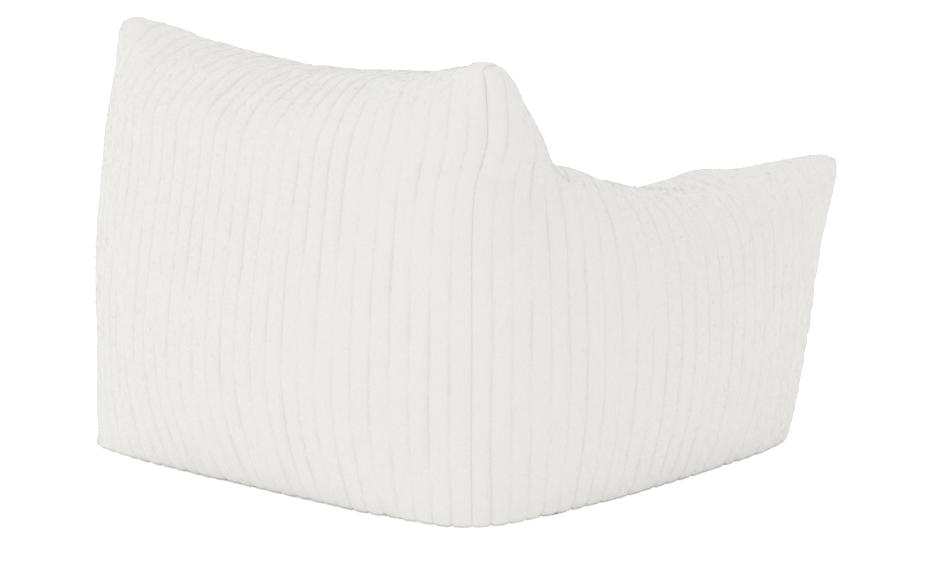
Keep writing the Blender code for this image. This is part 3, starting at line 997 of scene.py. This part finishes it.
def plush_material():
    made = Nodes("ivory_plush")
    place_in_cloth = made.add("ShaderNodeUVMap", uv_map="cloth").outputs[0]
    world = made.place_at()
    groove = made.add("ShaderNodeAttribute", attribute_name="groove").outputs["Fac"]
    strands = made.noise(made.scaled(place_in_cloth, (900.0, 260.0, 1.0)), 1.0, 4.0, 0.6)
    clumps = made.noise(made.scaled(place_in_cloth, (160.0, 90.0, 1.0)), 1.0, 3.0, 0.6)
    patches = made.noise(world, 9.0, 2.0)
    tone = made.mix(patches, PLUSH_WARM, PLUSH_COOL)
    tone = made.mix(made.math("MULTIPLY", clumps, 0.30), tone, PLUSH_SHADE)
    # Painted shade in the grooves and beside the seams.
    tone = made.mix(made.math("MULTIPLY", groove, 0.25), tone, PLUSH_GROOVE_SHADE)
    normal = made.bump(clumps, 0.25, 0.004)
    normal = made.bump(strands, 0.35, 0.0015, normal)
    made.set(
        Base_Color=tone, Normal=normal, Subsurface_Weight=0.10, Subsurface_Scale=0.008,
        Subsurface_Radius=(1.0, 0.9, 0.8), **PLUSH_SURFACE,
    )
    return made.material


def pile_material():
    """The tufts: the plush's colours, without the grooves and the lie of the cloth, and a painted
    glow.
    """
    made = Nodes("ivory_pile")
    world = made.place_at()
    strands = made.noise(world, 900.0, 2.0)
    patches = made.noise(world, 9.0, 2.0)
    tone = made.mix(patches, PLUSH_WARM, PLUSH_COOL)
    tone = made.mix(made.math("MULTIPLY", strands, 0.10), tone, PLUSH_SHADE)
    made.set(
        Base_Color=tone, Emission_Color=tone, Emission_Strength=PILE_GLOW, **PLUSH_SURFACE
    )
    made.material.cycles.emission_sampling = "NONE"
    return made.material


plush = plush_material()
pile = pile_material()
for number, (name, panel) in enumerate(plush_panels()):
    part, _, side = name.rpartition("_")
    node = f"cover_{part}_panel_{side}" if side in ("right", "left") else f"cover_{name}_panel"
    piece = add_plush("plush_" + name, panel, 100 * (number + 1))
    piece.data.materials.append(plush)
    for tufts in piece.children:
        tufts.data.materials.append(pile)
        # Fibres this fine let the light through: they neither shade the cloth nor each other.
        tufts.visible_shadow = False
        tufts.visible_diffuse = False
    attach(piece, "cushion")
    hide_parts(node)


# ---------------------------------------------------------------- cloth, fill and zip materials


def woven_material(name, light, dark, pitch, roughness, strength):
    """A plain weave that reads the same on faces turned any way."""
    made = Nodes(name)
    place_at = made.place_at()
    threads = []
    for direction in "XYZ":
        wave = made.add(
            "ShaderNodeTexWave",
            {"Vector": place_at, "Scale": 0.314 / pitch, "Distortion": 0.6, "Detail": 1.0},
            bands_direction=direction,
        )
        threads.append(wave.outputs["Fac"])
    weave = made.math("ADD", made.math("ADD", threads[0], threads[1]), threads[2])
    weave = made.math("MULTIPLY", weave, 0.333)
    slubs = made.noise(place_at, 400.0, 3.0, 0.6)
    blotches = made.noise(place_at, 14.0, 2.0)
    tone = made.mix(weave, dark, light)
    tone = made.mix(made.math("MULTIPLY", blotches, 0.25), tone, dark)
    normal = made.bump(weave, strength, 0.3 * pitch)
    normal = made.bump(slubs, 0.15, 0.0003, normal)
    made.set(
        Base_Color=tone, Normal=normal, Roughness=roughness, Specular_IOR_Level=0.25,
        Sheen_Weight=0.15, Sheen_Roughness=0.5,
    )
    return made.material


def bead_material():
    """Loose white foam beads, pressed together, with painted shade between them."""
    made = Nodes("foam_fill")
    place_at = made.place_at()
    beads = made.add("ShaderNodeTexVoronoi", {"Vector": place_at, "Scale": 210.0})
    distance = made.math("MULTIPLY", beads.outputs["Distance"], 1.6)
    tint = made.noise(place_at, 60.0, 2.0)
    tone = made.mix(tint, (0.86, 0.86, 0.84, 1), (0.94, 0.94, 0.93, 1))
    # Painted shade: the beads darken towards their rims, where they meet their neighbours.
    tone = made.mix(distance, tone, (0.62, 0.62, 0.61, 1))
    height = made.math("SUBTRACT", 1.0, distance)
    made.set(
        Base_Color=tone, Normal=made.bump(height, 0.9, 0.002), Roughness=0.8,
        Subsurface_Weight=0.2, Subsurface_Scale=0.004,
    )
    return made.material


def hard_material(name, light, dark, roughness, metallic, grain):
    """Moulded nylon or plated metal, with fine scuffs."""
    made = Nodes(name)
    place_at = made.place_at()
    scuffs = made.noise(made.scaled(place_at, (grain, 4 * grain, grain)), 1.0, 4.0, 0.65)
    stains = made.noise(place_at, 180.0, 2.0)
    made.set(
        Base_Color=made.mix(stains, dark, light),
        Roughness=made.spread(scuffs, roughness, roughness + 0.18),
        Normal=made.bump(scuffs, 0.12, 0.0002), Metallic=metallic,
    )
    return made.material


MATERIALS = {"foam_fill": bead_material()}
for name, looks in WOVEN_CLOTHS.items():
    MATERIALS[name] = woven_material(name, *looks)
for name, looks in HARD_PARTS.items():
    MATERIALS[name] = hard_material(name, *looks)


# ---------------------------------------------------------------- the pieces under the cover


def cad_copy(node, steps):
    """The CAD node's mesh as a new bmesh, with cuts every so many metres along each given axis."""
    copied = bmesh.new()
    copied.from_mesh(frame["nodes"][node].data)
    bmesh.ops.remove_doubles(copied, verts=copied.verts, dist=1e-6)
    low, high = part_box(node)
    for axis, step in steps.items():
        facing = Vector((axis == 0, axis == 1, axis == 2))
        for number in range(1, math.ceil((high[axis] - low[axis]) / step)):
            everything = [*copied.verts, *copied.edges, *copied.faces]
            at = facing * (low[axis] + number * step)
            bmesh.ops.bisect_plane(copied, geom=everything, dist=1e-5, plane_co=at, plane_no=facing)
    return copied


def moved_by(made, rule):
    """Moves every vertex of a bmesh by rule(points, normals)."""
    made.normal_update()
    points = np.array([vertex.co for vertex in made.verts])
    normals = np.array([vertex.normal for vertex in made.verts])
    for vertex, by in zip(made.verts, rule(points, normals)):
        vertex.co += Vector(by)
    return made


def add_piece(name, made, slot, body="cushion", nodes=(), smooth=True):
    """A finished piece from a bmesh, riding on a body and standing for some CAD nodes."""
    mesh = bpy.data.meshes.new(name)
    made.to_mesh(mesh)
    made.free()
    if smooth:
        mesh.shade_smooth()
    mesh.materials.append(MATERIALS[slot])
    piece = linked(name, mesh)
    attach(piece, body)
    if nodes:
        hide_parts(*nodes)
    return piece


def area_of(made):
    """Half the area of a closed sheet's faces: the cloth that was cut for it."""
    return sum(face.calc_area() for face in made.faces) / 2


def angles_round(count):
    """Angles evenly round a circle."""
    return [math.radians(360 / count * number) for number in range(count)]


def add_tube(made, rings):
    """A tube through rings of points, closed at both ends."""
    rings = [[made.verts.new(point) for point in ring] for ring in rings]
    made.faces.new(rings[0][::-1])
    made.faces.new(rings[-1])
    for lower, upper in zip(rings, rings[1:]):
        for number, corner in enumerate(lower):
            after = (number + 1) % len(lower)
            made.faces.new([corner, lower[after], upper[after], upper[number]])


def add_stud(made, x, y, z):
    """A low six-sided grip stud that hangs below z."""
    rings = [
        [(x + reach * math.cos(a), y + reach * math.sin(a), z - drop) for a in angles_round(6)]
        for reach, drop in ((STUD_TAPER * STUD_RADIUS, STUD_HEIGHT), (STUD_RADIUS, 0.0))
    ]
    add_tube(made, rings)


def add_thread(made, start):
    """One stitch along X: thick in the middle and thin where it goes in."""
    start = Vector(start)
    end = start + Vector((STITCH_LENGTH, 0, 0))
    along = (end - start).normalized()
    aside = along.orthogonal().normalized()
    third = along.cross(aside)
    rings = []
    for share, swell in STITCH_PROFILE:
        centre, radius = start.lerp(end, share), STITCH_RADIUS * swell
        turned = [aside * math.cos(a) + third * math.sin(a) for a in angles_round(5)]
        rings.append([centre + radius * direction for direction in turned])
    add_tube(made, rings)


def add_base():
    """The grip cloth of the underside, drawn in under the pile, and the rubber studs on it."""
    low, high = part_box("cover_base_panel")
    middle = (low + high) / 2
    zip_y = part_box("cover_zip_coil_front")[1][1] + ZIP_GAP

    def settle(points, normals):
        by = np.zeros_like(points)
        by[:, :2] = (points[:, :2] - np.array(middle)[:2]) * (BASE_RIM_SHARE - 1)
        near_zip = np.abs(points[:, 1] - zip_y) < 0.012
        ripple = 0.5 + 0.5 * noise(points[:, :2] / 0.03, 900)
        by[:, 2] = STUD_HEIGHT * np.where(points[:, 2] < 0.001, 1.0, 0.4) + 0.0005 * ripple
        by[near_zip] = 0
        return by

    made = moved_by(cad_copy("cover_base_panel", {0: 0.020, 1: 0.020}), settle)
    area = area_of(made)
    tree = BVHTree.FromBMesh(made)
    studs = bmesh.new()
    for row in range(int((high[1] - low[1]) / STUD_PITCH) + 1):
        for column in range(int((high[0] - low[0]) / STUD_PITCH) + 1):
            x = low[0] + (column + 0.5 * (row % 2)) * STUD_PITCH
            y = low[1] + row * STUD_PITCH
            if abs(x) < ZIP_CLEARANCE[0] and abs(y - zip_y) < ZIP_CLEARANCE[1]:
                continue
            reach = 3 * STUD_RADIUS
            probes = [(x + dx, y + dy, -0.01) for dx in (-reach, reach) for dy in (-reach, reach)]
            if all(tree.ray_cast(Vector(probe), Vector((0, 0, 1)))[0] for probe in probes):
                add_stud(studs, x, y, STUD_HEIGHT + 0.0002)
    cloth = add_piece("base_cloth", made, "grip_base_cloth", nodes=["cover_base_panel"])
    grips = add_piece("base_studs", studs, "grip_base_cloth", smooth=False)


def add_bag():
    """The liner, its four masses of fill and the three baffles between them."""

    def creased(points, normals):
        folds = noise(points / 0.045, 910) + 0.5 * noise(points / 0.018, 911)
        return (0.0014 * folds)[:, None] * away_from_middle(points)

    def away_from_middle(points):
        out = points - np.array([0.0, 0.05, 0.25])
        return out / np.linalg.norm(out, axis=1, keepdims=True)

    made = moved_by(cad_copy("inner_liner", {0: 0.03, 1: 0.03, 2: 0.03}), creased)
    add_piece("liner_bag", made, "liner_cloth", nodes=["inner_liner"])

    for number, node in enumerate(("fill_back", "fill_seat", "fill_arm_right", "fill_arm_left")):
        holder = linked(node, frame["nodes"][node].data.copy())
        remesh = holder.modifiers.new("remesh", "REMESH")
        remesh.mode = "VOXEL"
        remesh.voxel_size = FILL_VOXEL
        rounding = holder.modifiers.new("rounding", "SMOOTH")
        rounding.factor = 0.6
        rounding.iterations = 4
        mass = bmesh.new()
        mass.from_mesh(evaluated_mesh(holder))
        bpy.data.objects.remove(holder)
        seed = 920 + 2 * number

        def lumpy(points, normals):
            lumps = 1 + 0.6 * noise(points / 0.05, seed) + 0.4 * noise(points / 0.02, seed + 1)
            return -FILL_SHRINK * lumps[:, None] * normals

        mass = moved_by(mass, lumpy)
        add_piece(node.replace("fill", "beads"), mass, "foam_fill", nodes=[node])

    for number, (node, across) in enumerate(
        (("back_baffle", 1), ("arm_baffle_right", 0), ("arm_baffle_left", 0))
    ):
        low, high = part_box(node)
        wide, tall = (high - low)[1 - across], (high - low)[2]
        made = cad_copy(node, {1 - across: 0.02, 2: 0.02})
        area = min(area_of(made), wide * tall)

        def rippled(points, normals):
            by = np.zeros_like(points)
            by[:, across] = 0.0009 * noise(points / 0.06, 940 + number)
            return by

        wall = add_piece(node + "_cloth", moved_by(made, rippled), "baffle_cloth", nodes=[node])


def add_coil(name, node):
    """A nylon coil along X, wound inside the space of its CAD bar."""
    low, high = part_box(node)
    middle, half = (low + high) / 2, (high - low) / 2
    turns = int(2 * half.x / COIL_TURN)
    count = turns * COIL_POINTS + 1
    turn = np.arange(count) / COIL_POINTS * 2 * math.pi
    line = np.stack(
        [
            np.linspace(-half.x + COIL_WIRE, half.x - COIL_WIRE, count),
            (half.y - COIL_WIRE) * np.cos(turn),
            (half.z - COIL_WIRE) * np.sin(turn),
        ],
        1,
    )
    outward = np.stack([np.zeros(count), np.cos(turn), np.sin(turn)], 1)
    onward = np.gradient(line, axis=0)
    onward /= np.linalg.norm(onward, axis=1, keepdims=True)
    aside = np.cross(onward, outward)
    rings = [
        np.array(middle) + line + COIL_WIRE * (outward * math.cos(a) + aside * math.sin(a))
        for a in angles_round(4)
    ]
    made = bmesh.new()
    add_tube(made, np.stack(rings, 1))
    bmesh.ops.recalc_face_normals(made, faces=made.faces)
    return add_piece(name, made, "zip_coil_nylon", nodes=[node])


def wear_edges(piece, width):
    """Rounds the edges of a hard piece a little."""
    edge = piece.modifiers.new("worn_edges", "BEVEL")
    edge.width = width
    edge.segments = 2


def add_zip(prefix):
    """One zip: coils, sewn tapes, clamped stops and the slider on its own body."""
    for side, word in ((-1, "front"), (1, "rear")):
        add_coil(f"{prefix}_coil_{word}", f"{prefix}_zip_coil_{word}")
        node = f"{prefix}_zip_tape_{word}"
        low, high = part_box(node)
        made = cad_copy(node, {0: 0.006})
        area = area_of(made)

        def pulled(points, normals):
            by = np.zeros_like(points)
            by[:, 1] = 0.0003 * noise(points[:, :1] / 0.02, 960)
            return by

        made = moved_by(made, pulled)
        tape = add_piece(f"{prefix}_tape_{word}", made, "zip_tape_cloth", nodes=[node])
        threads = bmesh.new()
        for inset in STITCH_INSETS:
            y = (high[1] - inset) if side > 0 else (low[1] + inset)
            for number in range(int((high[0] - low[0]) / STITCH_PITCH) - 1):
                add_thread(threads, (low[0] + (number + 0.7) * STITCH_PITCH, y, low[2] + 0.0006))
        stitches = add_piece(f"{prefix}_tape_stitches_{word}", threads, "zip_tape_cloth")
    for word in ("top_stop_front", "top_stop_rear", "bottom_stop"):
        stop = frame["nodes"][f"{prefix}_zip_{word}"]
        stop.data.materials.clear()
        stop.data.materials.append(MATERIALS["zip_slider_metal"])
        wear_edges(stop, 0.0003)
    add_slider(prefix)


def add_slider(prefix):
    """The slider: waisted plates with worn edges and a low lug where a pull tab would hang."""
    node = f"{prefix}_zip_slider"
    low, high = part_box(node)
    middle, half = (low + high) / 2, (high - low) / 2

    def waisted(points, normals):
        along = (points[:, 0] - middle.x) / half.x
        share = 1 - 0.22 * smooth_step(-0.2, 1.0, along) - 0.10 * smooth_step(0.6, 1.0, -along)
        outer = np.abs(points[:, 1] - middle.y) > 0.003
        by = np.zeros_like(points)
        by[:, 1] = np.where(outer, (points[:, 1] - middle.y) * (share - 1), 0)
        return by

    made = moved_by(cad_copy(node, {0: 0.0016}), waisted)
    bmesh.ops.dissolve_limit(made, angle_limit=0.01, verts=made.verts, edges=made.edges)
    body = add_piece(node + "_body", made, "zip_slider_metal", f"{prefix}_slider", [node], False)
    wear_edges(body, 0.00025)
    arch = bmesh.new()
    rings = []
    for number in range(LUG_STEPS + 1):
        turn = math.pi * number / LUG_STEPS
        x = middle.x + LUG_REACH * math.cos(turn)
        z = low.z + 0.0001 - LUG_DROP * math.sin(turn)
        right, left = middle.y - LUG_HALF_WIDTH, middle.y + LUG_HALF_WIDTH
        over = z + LUG_THICKNESS
        rings.append([(x, right, z), (x, left, z), (x, left, over), (x, right, over)])
    add_tube(arch, rings)
    bmesh.ops.recalc_face_normals(arch, faces=arch.faces)
    add_piece(node + "_lug", arch, "zip_slider_metal", f"{prefix}_slider", smooth=False)


def add_label():
    """The blank label, curled a little at its corners, with a row of stitches along its rear edge."""
    low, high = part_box("care_label")
    middle = (low + high) / 2

    def curled(points, normals):
        by = np.zeros_like(points)
        across = (points[:, 0] - middle.x) / (high.x - low.x) * 2
        by[:, 2] = 0.0009 * across**2 * smooth_step(0.012, -0.02, points[:, 1] - middle.y)
        return by

    made = cad_copy("care_label", {0: 0.004, 1: 0.004})
    area = area_of(made)
    label = add_piece("label", moved_by(made, curled), "label_cloth", nodes=["care_label"])
    threads = bmesh.new()
    for number in range(int((high.x - low.x) / STITCH_PITCH) - 1):
        x = low.x + (number + 0.8) * STITCH_PITCH
        add_thread(threads, (x, high.y - 0.004, high.z + 0.00005))
    stitches = add_piece("label_stitches", threads, "label_cloth")


add_base()
add_bag()
add_zip("cover")
add_zip("liner")
add_label()

# ---------------------------------------------------------------- floor, light and camera

floor_mesh = bpy.data.meshes.new("floor")
corners = [(x * FLOOR_REACH, y * FLOOR_REACH, 0) for x, y in ((-1, -1), (1, -1), (1, 1), (-1, 1))]
floor_mesh.from_pydata(corners, [], [(0, 1, 2, 3)])
floor = linked("floor", floor_mesh)
paint = Nodes("floor_paint")
grain = paint.noise(paint.place_at(), 3.0, 3.0)
paint.set(
    Base_Color=paint.mix(grain, (0.93, 0.93, 0.93, 1), (0.95, 0.95, 0.95, 1)), Roughness=0.9,
    Specular_IOR_Level=0.1, Emission_Color=(1, 1, 1, 1),
)
seen_directly = paint.add("ShaderNodeLightPath").outputs["Is Camera Ray"]
paint.set(Emission_Strength=paint.spread(seen_directly, FLOOR_GLOW, FLOOR_GLOW_SEEN))
floor_mesh.materials.append(paint.material)

sun = linked("sun", bpy.data.lights.new("sun", "SUN"))
sun.data.energy = SUN_STRENGTH
sun.data.angle = SUN_SOFTNESS
sun.rotation_euler = SUN_DIRECTION.to_track_quat("-Z", "Y").to_euler()

world = bpy.data.worlds.new("studio")
world.use_nodes = True
background = world.node_tree.nodes["Background"]
background.inputs["Color"].default_value = (1, 1, 1, 1)
seen = world.node_tree.nodes.new("ShaderNodeLightPath")
strength = world.node_tree.nodes.new("ShaderNodeMapRange")
strength.inputs["To Min"].default_value = AMBIENT_LIGHT
strength.inputs["To Max"].default_value = BACKDROP_LIGHT
world.node_tree.links.new(seen.outputs["Is Camera Ray"], strength.inputs["Value"])
world.node_tree.links.new(strength.outputs["Result"], background.inputs["Strength"])
bpy.context.scene.world = world
bpy.context.scene.view_settings.view_transform = "Standard"

towards = Vector(
    (
        math.sin(CAMERA_AZIMUTH) * math.cos(CAMERA_ELEVATION),
        -math.cos(CAMERA_AZIMUTH) * math.cos(CAMERA_ELEVATION),
        math.sin(CAMERA_ELEVATION),
    )
)
camera = linked("camera", bpy.data.cameras.new("camera"))
camera.data.lens = CAMERA_LENS
camera.data.sensor_width = CAMERA_SENSOR
camera.location = CAMERA_AIM + towards * CAMERA_DISTANCE
camera.rotation_euler = (-towards).to_track_quat("-Z", "Y").to_euler()
bpy.context.scene.camera = camera
